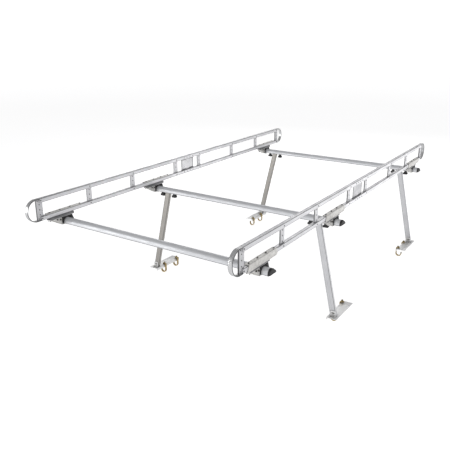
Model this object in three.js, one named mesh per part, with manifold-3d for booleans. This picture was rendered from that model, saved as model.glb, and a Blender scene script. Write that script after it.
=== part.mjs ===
// Over-cab ladder rack for a pickup truck, in millimetres.
// X runs across the truck, Y along it (-Y is the cab end, +Y the tailgate end), Z is up.
// The origin is on the ground plane, below the middle of the rack.

import * as THREE from "three";
import { mergeVertices } from "three/addons/utils/BufferGeometryUtils.js";
import Module from "manifold-3d";

const wasm = await Module();
wasm.setup();

// ---------- driving dimensions ----------

const GAP = 0.3; // left between pieces that touch
const EMBED = 1; // how far joined pieces run into each other
const OVERCUT = 2; // how far a cut runs past the piece it cuts
const WALL = 2.5; // wall of every hollow extrusion
const SIDES = { left: -1, right: 1 };

const RAIL = {
  centreX: 838,
  length: 3660,
  height: 163,
  bottomZ: 898,
  tubeWidth: 30,
  tubeHeight: 31,
  tubeEnd: 1716, // where the tubes stop and the rounded end begins
  bandThickness: 6, // of the strip bent round each end
  postThickness: 10,
  postWidth: 50,
  endPostWidth: 55,
  postCentres: [179, 758, 1246],
  endPostCentre: 1719,
};

const PANEL = { length: 180, thickness: 3, slots: 14, slotPitch: 11.5, slotWidth: 4, slotHeight: 76 };

const BAR = {
  halfLength: 900,
  front: 30, // from the crest forward to the front face
  rear: 58, // from the crest back to the trailing edge
  height: 42,
  tailHeight: 9, // of the blunt trailing edge
  crestBelowRail: 30,
  slotCentre: 14, // behind the crest
  slotMouth: 12,
  slotLip: 3,
  slotWidth: 24,
  slotHeight: 9,
  fallPower: 1.7, // of the curve from the crest down to the tail
  fallSteps: 10,
  tailHollow: 4, // least height of the hollow at the tail
};

const CROSSBARS = { front: -1498, middle: -450, rear: 1478 };

const CAP = { flange: 6, dome: 8, inset: 7, centreDepth: 25 };

const BRACKET = {
  plateLength: 344,
  plateCentre: -3, // from the crest, as every place along the bracket
  plateThickness: 4,
  plateDrop: 10, // below the rail
  plateChamfer: 12,
  boltCentre: 6,
  boltPitch: 96,
  boltRadius: 3.4,
  blockFront: 150,
  blockRear: 72,
  blockHeight: 19.7,
  blockWall: 4,
  strapThickness: 5,
  strapFront: 148, // where it leaves the block
  strapShelf: 12, // length of its level front end
  strapKnee: 46,
  strapRear: 40,
  webThickness: 3,
  webFront: 142,
  webBoltRadius: 3.5,
  webBolts: [[-60, -4], [-88, 3]], // Y and Z from the crest
};

const LINER = { width: 40, side: 10, rearSlope: 4, frontDepth: 36, rearDepth: 31 };

const LEG = {
  topX: 716,
  bottomX: 886,
  width: 51,
  depth: 25,
  grooveWidth: 5,
  grooveDepth: 0.8,
  groovePitch: 15,
};

const FOOT = {
  topZ: 80,
  thickness: 5,
  insideX: 845,
  outsideX: 932,
  shortEnd: 56, // from the leg to the near end of the plate
  longEnd: 280, // from the leg to the far end of the plate
  flangeHeight: 25,
  angleThickness: 4,
  angleHeight: 46,
  angleReach: 36,
  angleWidth: 46,
};

const CLEAT = {
  offset: 63, // from the leg
  baseWidth: 44,
  depth: 26,
  height: 43,
  neck: 14,
  neckDepth: 13, // below the bar, where it starts to widen
  flareDepth: 31, // where it is widest
  rimDepth: 38,
  rimChamfer: 5,
  shank: 4,
  shankRoot: 4, // how far the stud runs into the knob
  headWidth: 20,
  headHeight: 5,
};

const CLAMP = {
  spineX: 838,
  thickness: 8,
  width: 20,
  armZ: 88,
  reach: 30,
  hookRadius: 25,
  hookRise: 10,
  cornerRadius: 8,
  bossRadius: 9,
  bossHeight: 10,
  screwX: 15, // from the spine
  screwRadius: 5,
  headRadius: 9,
  headHeight: 9,
  headZ: 95,
  cornerSteps: 4,
  hookSteps: 10,
  offsets: [66, 246], // from the leg, along the foot
};

const CIRCLE_STEPS = 12;
const HOLE_STEPS = 8;
const HEX_STEPS = 6;
const ARC_STEPS = 12;

// ---------- heights that follow from them ----------

const crestZ = RAIL.bottomZ - BAR.crestBelowRail;
const barBottomZ = crestZ - BAR.height;
const blockBottomZ = RAIL.bottomZ - GAP - BRACKET.blockHeight;

// ---------- materials ----------

const finishes = {
  aluminium: { color: 0xc9cacc, roughness: 0.38, metalness: 1 },
  panel: { color: 0xb4b3b9, roughness: 0.5, metalness: 1 },
  bracket: { color: 0xbdbeba, roughness: 0.45, metalness: 1 },
  zinc: { color: 0xb09a5c, roughness: 0.4, metalness: 1 },
  blackPlastic: { color: 0x141414, roughness: 0.5, metalness: 0 },
  rubber: { color: 0x101010, roughness: 0.8, metalness: 0 },
};

const rack = new THREE.Group();
rack.name = "ladder_rack";

function addPiece(name, geometry, finish, position = [0, 0, 0]) {
  const mesh = new THREE.Mesh(geometry, new THREE.MeshStandardMaterial(finishes[finish]));
  mesh.name = name;
  mesh.position.set(...position);
  rack.add(mesh);
}

// ---------- solids, joins and cuts ----------

function toSolid(geometry) {
  geometry.deleteAttribute("normal");
  geometry.deleteAttribute("uv");
  const merged = mergeVertices(geometry, 1e-4);
  const vertProperties = new Float32Array(merged.attributes.position.array);
  const triVerts = new Uint32Array(merged.index.array);
  return new wasm.Manifold(new wasm.Mesh({ numProp: 3, vertProperties, triVerts }));
}

function toGeometry(solid) {
  const mesh = solid.getMesh();
  const geometry = new THREE.BufferGeometry();
  geometry.setAttribute("position", new THREE.BufferAttribute(mesh.vertProperties, 3));
  geometry.setIndex(new THREE.BufferAttribute(mesh.triVerts, 1));
  geometry.computeVertexNormals();
  return geometry;
}

function combine(base, added, removed = []) {
  let solid = toSolid(base);
  added.forEach((piece) => {
    solid = solid.add(toSolid(piece));
  });
  removed.forEach((piece) => {
    solid = solid.subtract(toSolid(piece));
  });
  return toGeometry(solid);
}

function box([lowX, lowY, lowZ], [highX, highY, highZ]) {
  const geometry = new THREE.BoxGeometry(highX - lowX, highY - lowY, highZ - lowZ);
  return geometry.translate((lowX + highX) / 2, (lowY + highY) / 2, (lowZ + highZ) / 2);
}

function rod(radius, length, axis, [x, y, z], steps = CIRCLE_STEPS) {
  const geometry = new THREE.CylinderGeometry(radius, radius, length, steps);
  if (axis === "x") geometry.rotateZ(Math.PI / 2);
  if (axis === "z") geometry.rotateX(Math.PI / 2);
  return geometry.translate(x, y, z);
}

// ---------- outlines and extrusions ----------

function shapeOf(points) {
  return new THREE.Shape(points.map(([u, v]) => new THREE.Vector2(u, v)));
}

function pathOf(points) {
  return new THREE.Path(points.map(([u, v]) => new THREE.Vector2(u, v)));
}

// Points of an arc about (u, v), from one angle to another, in degrees.
function arc(u, v, radius, from, to, steps = ARC_STEPS) {
  return Array.from({ length: steps + 1 }, (_, i) => {
    const angle = THREE.MathUtils.degToRad(from + ((to - from) * i) / steps);
    return [u + radius * Math.cos(angle), v + radius * Math.sin(angle)];
  });
}

function stadium(halfLength, halfHeight) {
  const centre = halfLength - halfHeight;
  return [...arc(centre, 0, halfHeight, -90, 90), ...arc(-centre, 0, halfHeight, 90, 270)];
}

// An outline drawn in Y and Z, extruded along X and centred on X = 0.
function extrudeAcross(shape, width) {
  const geometry = new THREE.ExtrudeGeometry(shape, { depth: width, bevelEnabled: false });
  geometry.translate(0, 0, -width / 2);
  const turn = new THREE.Matrix4().makeBasis(
    new THREE.Vector3(0, 1, 0),
    new THREE.Vector3(0, 0, 1),
    new THREE.Vector3(1, 0, 0),
  );
  return geometry.applyMatrix4(turn);
}

// An outline drawn in X and Z, extruded along Y and centred on Y = 0.
function extrudeAlong(shape, length) {
  const geometry = new THREE.ExtrudeGeometry(shape, { depth: length, bevelEnabled: false });
  return geometry.translate(0, 0, -length / 2).rotateX(Math.PI / 2);
}

// The outline of a strip of even thickness along a line of points.
function ribbon(points, thickness) {
  const normals = points.map((_, i) => {
    const before = points[Math.max(i - 1, 0)];
    const after = points[Math.min(i + 1, points.length - 1)];
    const run = new THREE.Vector2(after[0] - before[0], after[1] - before[1]).setLength(thickness / 2);
    return [-run.y, run.x];
  });
  const offset = (side) => points.map(([u, v], i) => [u + side * normals[i][0], v + side * normals[i][1]]);
  return shapeOf([...offset(1), ...offset(-1).reverse()]);
}

// ---------- side rails ----------

// A box section tube along the truck, open at both ends.
function tube(centreZ) {
  const slab = (inset, end) => {
    const halfWidth = RAIL.tubeWidth / 2 - inset;
    const halfHeight = RAIL.tubeHeight / 2 - inset;
    return box([-halfWidth, -end, centreZ - halfHeight], [halfWidth, end, centreZ + halfHeight]);
  };
  return { outside: slab(0, RAIL.tubeEnd), hollow: slab(WALL, RAIL.tubeEnd + OVERCUT) };
}

// The strips bent round the two ends, each running a little way into its tubes.
function endBands() {
  const outline = shapeOf(stadium(RAIL.length / 2, RAIL.height / 2));
  const inset = RAIL.bandThickness;
  outline.holes.push(pathOf(stadium(RAIL.length / 2 - inset, RAIL.height / 2 - inset)));
  const middle = box(
    [-RAIL.tubeWidth, RAIL.bandThickness - RAIL.tubeEnd, -RAIL.height],
    [RAIL.tubeWidth, RAIL.tubeEnd - RAIL.bandThickness, RAIL.height],
  );
  return { ring: extrudeAcross(outline, RAIL.tubeWidth), middle };
}

function post(centre, width, halfHeight) {
  const halfThickness = RAIL.postThickness / 2;
  return box(
    [-halfThickness, centre - width / 2, -halfHeight],
    [halfThickness, centre + width / 2, halfHeight],
  );
}

function posts() {
  const short = RAIL.height / 2 - RAIL.tubeHeight + EMBED;
  const tall = RAIL.height / 2 - RAIL.bandThickness + EMBED;
  return [-1, 1].flatMap((direction) => [
    ...RAIL.postCentres.map((centre) => post(direction * centre, RAIL.postWidth, short)),
    post(direction * RAIL.endPostCentre, RAIL.endPostWidth, tall),
  ]);
}

function sideRail() {
  const tubes = [-1, 1].map((level) => tube((level * (RAIL.height - RAIL.tubeHeight)) / 2));
  const { ring, middle } = endBands();
  const ends = combine(ring, [], [middle]);
  const hollows = tubes.map(({ hollow }) => hollow);
  const straight = combine(tubes[0].outside, [tubes[1].outside], hollows);
  return combine(straight, [ends, ...posts()]);
}

function centrePanel() {
  const halfHeight = RAIL.height / 2 - RAIL.tubeHeight - GAP;
  const halfThickness = PANEL.thickness / 2;
  const plate = box(
    [-halfThickness, -PANEL.length / 2, -halfHeight],
    [halfThickness, PANEL.length / 2, halfHeight],
  );
  const slots = Array.from({ length: PANEL.slots }, (_, i) => {
    const centre = (i - (PANEL.slots - 1) / 2) * PANEL.slotPitch;
    return box(
      [-PANEL.thickness, centre - PANEL.slotWidth / 2, -PANEL.slotHeight / 2],
      [PANEL.thickness, centre + PANEL.slotWidth / 2, PANEL.slotHeight / 2],
    );
  });
  return combine(plate, [], slots);
}

for (const [side, sign] of Object.entries(SIDES)) {
  const middle = [sign * RAIL.centreX, 0, RAIL.bottomZ + RAIL.height / 2];
  addPiece(`side_rail_${side}`, sideRail(), "aluminium", middle);
  addPiece(`centre_panel_${side}`, centrePanel(), "panel", middle);
}

// ---------- crossbars ----------

// The upper surface of the aerofoil, from the front face over the crest to the tail,
// as [Y, Z] from the crest, pushed outwards by a clearance.
function aerofoilTop(clearance) {
  const noseRadius = BAR.front;
  const nose = arc(0, -noseRadius, noseRadius + clearance, 180, 90);
  const fall = BAR.height - BAR.tailHeight;
  const back = Array.from({ length: BAR.fallSteps }, (_, i) => {
    const along = (i + 1) / BAR.fallSteps;
    return [along * (BAR.rear + clearance), clearance - fall * along ** BAR.fallPower];
  });
  return [...nose, ...back];
}

function slotRecess() {
  const floor = -BAR.height;
  const mouth = BAR.slotMouth / 2;
  const wide = BAR.slotWidth / 2;
  const lip = floor + BAR.slotLip;
  const roof = lip + BAR.slotHeight;
  const left = [[-mouth, floor], [-mouth, lip], [-wide, lip], [-wide, roof]];
  const right = left.map(([u, v]) => [-u, v]).reverse();
  return [...left, ...right].map(([u, v]) => [u + BAR.slotCentre, v]).reverse();
}

function barHollow() {
  const floor = -BAR.height + WALL;
  const half = BAR.slotWidth / 2 + WALL;
  const roof = -BAR.height + BAR.slotLip + BAR.slotHeight + WALL;
  const top = aerofoilTop(-WALL).filter(([, v]) => v > floor + BAR.tailHollow);
  return [
    [WALL - BAR.front, floor],
    ...top,
    [top.at(-1)[0], floor],
    [BAR.slotCentre + half, floor],
    [BAR.slotCentre + half, roof],
    [BAR.slotCentre - half, roof],
    [BAR.slotCentre - half, floor],
  ];
}

function crossbar() {
  const outline = shapeOf([
    [-BAR.front, -BAR.height],
    ...aerofoilTop(0),
    [BAR.rear, -BAR.height],
    ...slotRecess(),
  ]);
  const bar = extrudeAcross(outline, 2 * BAR.halfLength);
  return combine(bar, [], [extrudeAcross(shapeOf(barHollow()), 2 * BAR.halfLength + OVERCUT)]);
}

function endCap(sign) {
  const outline = [[-BAR.front, -BAR.height], ...aerofoilTop(0), [BAR.rear, -BAR.height]].reverse();
  const scale = 1 - (2 * CAP.inset) / (BAR.front + BAR.rear);
  const shrink = (value, centre) => centre + (value - centre) * scale;
  const shrunk = outline.map(([u, v]) => [shrink(u, BAR.slotCentre), shrink(v, -CAP.centreDepth)]);
  const flange = extrudeAcross(shapeOf(outline), CAP.flange);
  const dome = domeBetween(outline, shrunk, CAP.flange / 2 - EMBED, CAP.flange / 2 + CAP.dome, sign);
  return combine(flange, [dome]);
}

// A tapering solid from one anticlockwise outline to a smaller one, along X.
function domeBetween(base, tip, fromX, toX, sign) {
  const count = base.length;
  const cap = THREE.ShapeUtils.triangulateShape(base.map(([u, v]) => new THREE.Vector2(u, v)), []);
  const ring = (outline, x) => outline.map((point) => [sign * x, ...point]);
  const points = [...ring(base, fromX), ...ring(tip, toX)];
  const faces = cap.flatMap(([a, b, c]) => [[c, b, a], [a + count, b + count, c + count]]);
  for (let i = 0; i < count; i += 1) {
    const next = (i + 1) % count;
    faces.push([i, next, next + count], [i, next + count, i + count]);
  }
  const geometry = new THREE.BufferGeometry();
  geometry.setAttribute("position", new THREE.Float32BufferAttribute(points.flat(), 3));
  geometry.setIndex(faces.flatMap((face) => (sign > 0 ? face : [...face].reverse())));
  return geometry;
}

for (const [place, y] of Object.entries(CROSSBARS)) {
  addPiece(`crossbar_${place}`, crossbar(), "aluminium", [0, y, crestZ]);
  for (const [side, sign] of Object.entries(SIDES)) {
    const x = sign * (BAR.halfLength + GAP + CAP.flange / 2);
    addPiece(`end_cap_${place}_${side}`, endCap(sign), "blackPlastic", [x, y, crestZ]);
  }
}

// ---------- rail brackets and saddle liners ----------

// An angle that lies over the top and the outer face of the rail's lower tube.
function bracketAngle(sign) {
  const { plateThickness: thickness, plateChamfer: chamfer, plateCentre: centre } = BRACKET;
  const half = BRACKET.plateLength / 2;
  const low = RAIL.bottomZ - BRACKET.plateDrop - crestZ;
  const seat = RAIL.bottomZ + RAIL.tubeHeight + GAP - crestZ;
  const high = seat + thickness;
  const outline = shapeOf([
    [centre - half, low + BRACKET.plateDrop],
    [centre - half + chamfer, low],
    [centre + half - chamfer, low],
    [centre + half, low + BRACKET.plateDrop],
    [centre + half - chamfer, high],
    [centre - half + chamfer, high],
  ]);
  const x = sign * (RAIL.tubeWidth / 2 + GAP + thickness / 2);
  const side = extrudeAcross(outline, thickness).translate(x, 0, 0);
  const inner = (-sign * RAIL.tubeWidth) / 2;
  const top = box(
    [Math.min(inner, x), centre - half + chamfer, seat],
    [Math.max(inner, x), centre + half - chamfer, high],
  );
  return combine(side, [top]);
}

function angleBolts() {
  const z = RAIL.bottomZ + RAIL.tubeHeight + GAP + BRACKET.plateThickness / 2 - crestZ;
  return [-1.5, -0.5, 0.5, 1.5].map((step) => {
    const at = [0, BRACKET.boltCentre + step * BRACKET.boltPitch, z];
    return rod(BRACKET.boltRadius, BRACKET.plateThickness + OVERCUT, "z", at, HOLE_STEPS);
  });
}

function block() {
  const half = RAIL.tubeWidth / 2 + GAP + BRACKET.plateThickness;
  const top = RAIL.bottomZ - GAP - crestZ;
  const bottom = top - BRACKET.blockHeight;
  const wall = BRACKET.blockWall;
  const outside = box([-half, -BRACKET.blockFront, bottom], [half, BRACKET.blockRear, top]);
  const inside = box(
    [-half + wall, -BRACKET.blockFront - OVERCUT, bottom + wall],
    [half - wall, BRACKET.blockRear + OVERCUT, top - wall],
  );
  return { outside, inside, half };
}

function strapLine() {
  const low = -BAR.height - GAP - BRACKET.strapThickness / 2;
  const high = blockBottomZ - crestZ + BRACKET.strapThickness / 2;
  return [
    [-BRACKET.strapFront, high],
    [-BRACKET.strapFront + BRACKET.strapShelf, high],
    [-BRACKET.strapKnee, low],
    [BRACKET.strapRear, low],
  ];
}

function strapWeb(x) {
  const top = blockBottomZ - crestZ + EMBED;
  const low = -BAR.height - GAP - BRACKET.strapThickness / 2;
  const outline = shapeOf([
    [-BRACKET.webFront, top],
    [-BRACKET.strapKnee, low],
    [-BRACKET.strapKnee, top],
  ]);
  return extrudeAcross(outline, BRACKET.webThickness).translate(x, 0, 0);
}

function railBracket(sign) {
  const { outside, inside, half } = block();
  const strap = extrudeAcross(ribbon(strapLine(), BRACKET.strapThickness), 2 * half);
  const webX = half - BRACKET.webThickness / 2;
  const webBolts = BRACKET.webBolts.map(([y, z]) =>
    rod(BRACKET.webBoltRadius, 4 * half, "x", [0, y, z], HOLE_STEPS),
  );
  const solid = combine(outside, [strap, strapWeb(webX), strapWeb(-webX), bracketAngle(sign)], [inside]);
  return combine(solid, [], [...angleBolts(), ...webBolts]);
}

function saddleLiner() {
  const top = blockBottomZ - GAP - crestZ;
  const inner = aerofoilTop(GAP);
  const front = -BAR.front - LINER.side;
  const rearInner = inner.filter(([u, v]) => u <= 0 || v > -LINER.rearDepth);
  const rearEnd = rearInner.at(-1);
  const frontInner = [-BAR.front - GAP, -LINER.frontDepth];
  const outline = shapeOf([
    [front, -LINER.frontDepth],
    [front, top],
    [rearEnd[0] - LINER.rearSlope, top],
    [rearEnd[0] + LINER.side, rearEnd[1] + LINER.rearSlope],
    rearEnd,
    ...rearInner.slice(0, -1).reverse(),
    frontInner,
  ]);
  return extrudeAcross(outline, LINER.width);
}

for (const [place, y] of Object.entries(CROSSBARS)) {
  for (const [side, sign] of Object.entries(SIDES)) {
    const corner = [sign * RAIL.centreX, y, crestZ];
    addPiece(`rail_bracket_${place}_${side}`, railBracket(sign), "bracket", corner);
    addPiece(`saddle_liner_${place}_${side}`, saddleLiner(), "rubber", corner);
  }
}

// ---------- legs ----------

function legSection(halfWidth, halfDepth, grooves) {
  const half = LEG.grooveWidth / 2;
  const edge = (direction) =>
    grooves.flatMap((centre) => {
      const u = direction * centre;
      const face = -direction * halfDepth;
      const bed = -direction * (halfDepth - LEG.grooveDepth);
      const step = direction * half;
      return [[u - step, face], [u - step, bed], [u + step, bed], [u + step, face]];
    });
  return [
    [-halfWidth, -halfDepth],
    ...edge(1),
    [halfWidth, -halfDepth],
    [halfWidth, halfDepth],
    ...edge(-1),
    [-halfWidth, halfDepth],
  ];
}

// A hollow extrusion that leans outwards, with its two ends level.
function leg(sign) {
  const low = FOOT.topZ + GAP;
  const high = barBottomZ - GAP;
  const grooves = [-LEG.groovePitch, 0, LEG.groovePitch];
  const outline = shapeOf(legSection(LEG.width / 2, LEG.depth / 2, grooves));
  const hollow = shapeOf(legSection(LEG.width / 2 - WALL, LEG.depth / 2 - WALL, []));
  const lean = (sign * (LEG.topX - LEG.bottomX)) / (high - low);
  const shear = new THREE.Matrix4().set(1, 0, lean, 0, 0, 1, 0, 0, 0, 0, 1, 0, 0, 0, 0, 1);
  const tube = new THREE.ExtrudeGeometry(outline, { depth: high - low, bevelEnabled: false });
  const core = new THREE.ExtrudeGeometry(hollow, { depth: high - low + 2 * OVERCUT, bevelEnabled: false });
  return combine(tube.applyMatrix4(shear), [], [core.translate(0, 0, -OVERCUT).applyMatrix4(shear)]);
}

// ---------- feet ----------

function footPlate(sign, direction) {
  const [near, far] = [-direction * FOOT.shortEnd, direction * FOOT.longEnd];
  const [lowY, highY] = [Math.min(near, far), Math.max(near, far)];
  const across = (a, b) => [Math.min(sign * a, sign * b), Math.max(sign * a, sign * b)];
  const slab = (insideX, outsideX, fromY, toY, fromZ, toZ) => {
    const [lowX, highX] = across(insideX, outsideX);
    return box([lowX, fromY, fromZ], [highX, toY, toZ]);
  };
  const under = FOOT.topZ - FOOT.thickness;
  const plate = slab(FOOT.insideX, FOOT.outsideX, lowY, highY, under, FOOT.topZ);
  const lip = FOOT.topZ - FOOT.flangeHeight;
  const flange = slab(FOOT.insideX, FOOT.insideX + FOOT.thickness, lowY, highY, lip, FOOT.topZ - EMBED);
  const angleInside = LEG.bottomX - FOOT.angleWidth / 2;
  const angleOutside = LEG.bottomX + FOOT.angleWidth / 2;
  const face = -LEG.depth / 2 - GAP;
  const back = face - FOOT.angleThickness;
  const root = FOOT.topZ - EMBED;
  const seatTop = FOOT.topZ + FOOT.angleThickness;
  const seat = slab(angleInside, angleOutside, face - FOOT.angleReach, face, root, seatTop);
  const upright = slab(angleInside, angleOutside, back, face, root, FOOT.topZ + FOOT.angleHeight);
  return combine(plate, [flange, seat, upright]);
}

// ---------- clamps ----------

// The line of the clamp's flat bar, from the tip of its upper arm, down its spine and round its hook,
// as [distance outboard of the spine, Z].
function clampLine() {
  const { armZ, reach, hookRadius, hookRise, cornerRadius, thickness, cornerSteps, hookSteps } = CLAMP;
  const hookZ = hookRadius + thickness / 2;
  return [
    [reach, armZ],
    ...arc(cornerRadius, armZ - cornerRadius, cornerRadius, 90, 180, cornerSteps),
    ...arc(hookRadius, hookZ, hookRadius, 180, 360, hookSteps),
    [2 * hookRadius, hookZ + hookRise],
  ];
}

function clampBody(sign) {
  const line = clampLine().map(([u, v]) => [sign * u, v]);
  const bar = extrudeAlong(ribbon(line, CLAMP.thickness), CLAMP.width);
  const at = [sign * CLAMP.screwX, 0, CLAMP.armZ];
  const boss = rod(CLAMP.bossRadius, CLAMP.bossHeight, "z", at);
  const bore = rod(CLAMP.screwRadius + GAP, 4 * CLAMP.bossHeight, "z", at);
  return combine(bar, [boss], [bore]);
}

function clampScrew() {
  const { screwRadius, headRadius, headHeight, headZ } = CLAMP;
  const tipZ = FOOT.topZ + GAP;
  const shank = rod(screwRadius, headZ + EMBED - tipZ, "z", [0, 0, (headZ + EMBED + tipZ) / 2]);
  const head = rod(headRadius, headHeight, "z", [0, 0, headZ + headHeight / 2], HEX_STEPS);
  return combine(shank, [head]);
}

// ---------- tie-down cleats ----------

function cleat() {
  const { baseWidth, depth, height, neck, shank, headWidth, headHeight } = CLEAT;
  const rightHalf = [
    [baseWidth / 2 - CLEAT.rimChamfer, -height],
    [baseWidth / 2, -CLEAT.rimDepth],
    [baseWidth / 2, -CLEAT.flareDepth],
    [neck / 2, -CLEAT.neckDepth],
    [neck / 2, 0],
  ];
  const leftHalf = rightHalf.map(([u, v]) => [-u, v]).reverse();
  const knob = extrudeAlong(shapeOf([...leftHalf, ...rightHalf]), depth);
  const headZ = GAP + BAR.slotLip + (BAR.slotHeight - headHeight) / 2;
  const stud = rod(shank, headZ + CLEAT.shankRoot, "z", [0, 0, (headZ - CLEAT.shankRoot) / 2 + EMBED]);
  const half = headWidth / 2;
  const head = box([-half, -half, headZ], [half, half, headZ + headHeight]);
  return combine(knob, [stud, head]);
}

// ---------- each leg with its foot, clamps and cleats ----------

const LEG_PLACES = [
  { place: "middle", y: CROSSBARS.middle + BAR.slotCentre, direction: 1 },
  { place: "rear", y: CROSSBARS.rear + BAR.slotCentre, direction: -1 },
];

for (const { place, y, direction } of LEG_PLACES) {
  for (const [side, sign] of Object.entries(SIDES)) {
    addPiece(`leg_${place}_${side}`, leg(sign), "aluminium", [sign * LEG.bottomX, y, FOOT.topZ + GAP]);
    addPiece(`foot_plate_${place}_${side}`, footPlate(sign, direction), "aluminium", [0, y, 0]);
    for (const [which, offset] of [["inner", -CLEAT.offset], ["outer", CLEAT.offset]]) {
      const at = [sign * (LEG.topX + offset), y, barBottomZ - GAP];
      addPiece(`tie_cleat_${place}_${side}_${which}`, cleat(), "blackPlastic", at);
    }
    CLAMP.offsets.forEach((offset, i) => {
      const clampY = y + direction * offset;
      const label = `${place}_${side}_${i + 1}`;
      addPiece(`clamp_body_${label}`, clampBody(sign), "zinc", [sign * CLAMP.spineX, clampY, 0]);
      const screwX = sign * (CLAMP.spineX + CLAMP.screwX);
      addPiece(`clamp_screw_${label}`, clampScrew(), "zinc", [screwX, clampY, 0]);
    });
  }
}

export default rack;
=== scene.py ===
import math

import bmesh
import bpy
from mathutils import Matrix, Vector
from mathutils.geometry import tessellate_polygon


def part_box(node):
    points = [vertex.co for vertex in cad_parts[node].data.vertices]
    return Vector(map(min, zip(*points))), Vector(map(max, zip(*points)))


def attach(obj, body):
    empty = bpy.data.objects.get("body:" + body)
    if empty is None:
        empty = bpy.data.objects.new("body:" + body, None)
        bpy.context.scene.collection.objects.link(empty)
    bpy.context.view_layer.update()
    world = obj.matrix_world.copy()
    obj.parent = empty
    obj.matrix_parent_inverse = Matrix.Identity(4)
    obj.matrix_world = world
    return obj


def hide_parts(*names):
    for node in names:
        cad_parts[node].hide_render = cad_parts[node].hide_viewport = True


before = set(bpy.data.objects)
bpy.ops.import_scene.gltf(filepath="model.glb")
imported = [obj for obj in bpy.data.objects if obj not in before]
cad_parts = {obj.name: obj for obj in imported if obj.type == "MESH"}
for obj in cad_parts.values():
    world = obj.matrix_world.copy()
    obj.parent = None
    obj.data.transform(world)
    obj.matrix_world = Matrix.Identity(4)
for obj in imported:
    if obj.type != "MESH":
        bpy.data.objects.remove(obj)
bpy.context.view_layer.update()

# Outlines and depths are in millimetres, places in the row frame are in metres.
MM = 0.001
SIDES = {"left": -1, "right": 1}
BARS = ("front", "middle", "rear")
SHARP = math.radians(32)

# Driving dimensions, in mm. The rest comes from the frame.
TUBE = {"width": 30.0, "height": 31.0, "round": 3.2, "end": 1716.0}
BAND = {"thickness": 6.0, "steps": 36, "screw_y": 1762.0}
POST = {"half_width": 25.0, "half_depth": 5.0, "places": (179, 758, 1246), "screws": (-37, 0, 37)}
END_POST = {"half_width": 27.5, "place": 1719}
PANEL = {"sheet": 2.2, "frame": 3.0, "border": 8.0, "slots": 14, "pitch": 11.5, "screws": (-66, -22, 22, 66)}
BAR = {"front": 30.0, "rear": 58.0, "height": 42.0, "tail": 9.0, "slot": 14.0}
BRACKET = {"half_width": 19.3, "face": 15.3, "front": -163.0, "rear": 157.0, "top": 65.1, "flange": 3.8,
           "web": 3.0, "bolts": (-138, -42, 54, 150), "web_bolts": ((-60, -4), (-88, 3))}
LINER = {"top": 9.7, "depth": 36.0, "rear_depth": 31.0, "gap": 0.35}
LEG = {"half_width": 25.5, "half_depth": 12.5, "round": 2.6, "head": 4.0}
FOOT = {"thickness": 5.0, "width": 87.0, "drop": 24.8, "inside": 845.0}
ANGLE = {"thickness": 4.0, "half_width": 23.0, "bend": 8.2, "slot_z": 27.0, "bolts": (-11, 11)}
CLAMP = {"thickness": 8.0, "width": 20.0, "spine": 838.0, "arm": 88.0, "head": 95.0,
         "tip": 50.0, "tip_z": 39.1}
THREAD = {"pitch": 1.5, "root": 4.3, "crest": 5.0}
CLEAT = {"depth": 26.0, "nut": 4.9}


# ---------- outlines ----------

def arc(u, v, radius, start, end, steps):
    """Points of an arc about (u, v), from one angle to another in degrees."""
    angles = [math.radians(start + (end - start) * i / steps) for i in range(steps + 1)]
    return [(u + radius * math.cos(a), v + radius * math.sin(a)) for a in angles]


def circle(radius, steps):
    return arc(0, 0, radius, 0, 360, steps)[:-1]


def rectangle(half_u, half_v):
    return [(-half_u, -half_v), (half_u, -half_v), (half_u, half_v), (-half_u, half_v)]


def stadium(half_u, half_v, v=0.0, steps=6):
    """A slot with round ends that is longer along u."""
    reach = half_u - half_v
    return arc(reach, v, half_v, -90, 90, steps) + arc(-reach, v, half_v, 90, 270, steps)


def upright_stadium(half_u, half_v, u):
    return [(u + q, -p) for p, q in stadium(half_v, half_u)]


def fillet(corners, radius, steps=4, closed=True):
    """The outline with its corners rounded; a corner may carry its own radius as a third number."""
    count, made = len(corners), []
    for i, corner in enumerate(corners):
        here = Vector(corner[:2])
        if not closed and i in (0, count - 1):
            made.append(tuple(here))
            continue
        back = Vector(corners[i - 1][:2]) - here
        on = Vector(corners[(i + 1) % count][:2]) - here
        wanted = corner[2] if len(corner) > 2 else radius
        half = back.angle(on) / 2
        if wanted < 1e-6 or half > math.radians(88):
            made.append(tuple(here))
            continue
        reach = min(wanted / math.tan(half), 0.49 * back.length, 0.49 * on.length)
        turn = reach * math.tan(half)
        centre = here + (back.normalized() + on.normalized()).normalized() * (turn / math.sin(half))
        first = here + back.normalized() * reach - centre
        last = here + on.normalized() * reach - centre
        start = math.atan2(first.y, first.x)
        swing = (math.atan2(last.y, last.x) - start + math.pi) % (2 * math.pi) - math.pi
        for k in range(steps + 1):
            angle = start + swing * k / steps
            made.append((centre.x + turn * math.cos(angle), centre.y + turn * math.sin(angle)))
    return made


def turned(loop, anticlockwise=True):
    area = sum(a[0] * b[1] - b[0] * a[1] for a, b in zip(loop, loop[1:] + loop[:1]))
    return loop if (area > 0) == anticlockwise else loop[::-1]


def inset(loop, distance):
    """The loop moved to its own left, which is into the metal, with mitred corners."""
    if distance == 0:
        return loop
    moved = []
    for i, here in enumerate(loop):
        before, after = loop[i - 1], loop[(i + 1) % len(loop)]
        one = Vector((here[0] - before[0], here[1] - before[1])).normalized()
        two = Vector((after[0] - here[0], after[1] - here[1])).normalized()
        first, second = Vector((-one.y, one.x)), Vector((-two.y, two.x))
        shift = (first + second) * (distance / max(0.3, 1 + first.dot(second)))
        moved.append((here[0] + shift.x, here[1] + shift.y))
    return moved


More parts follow.
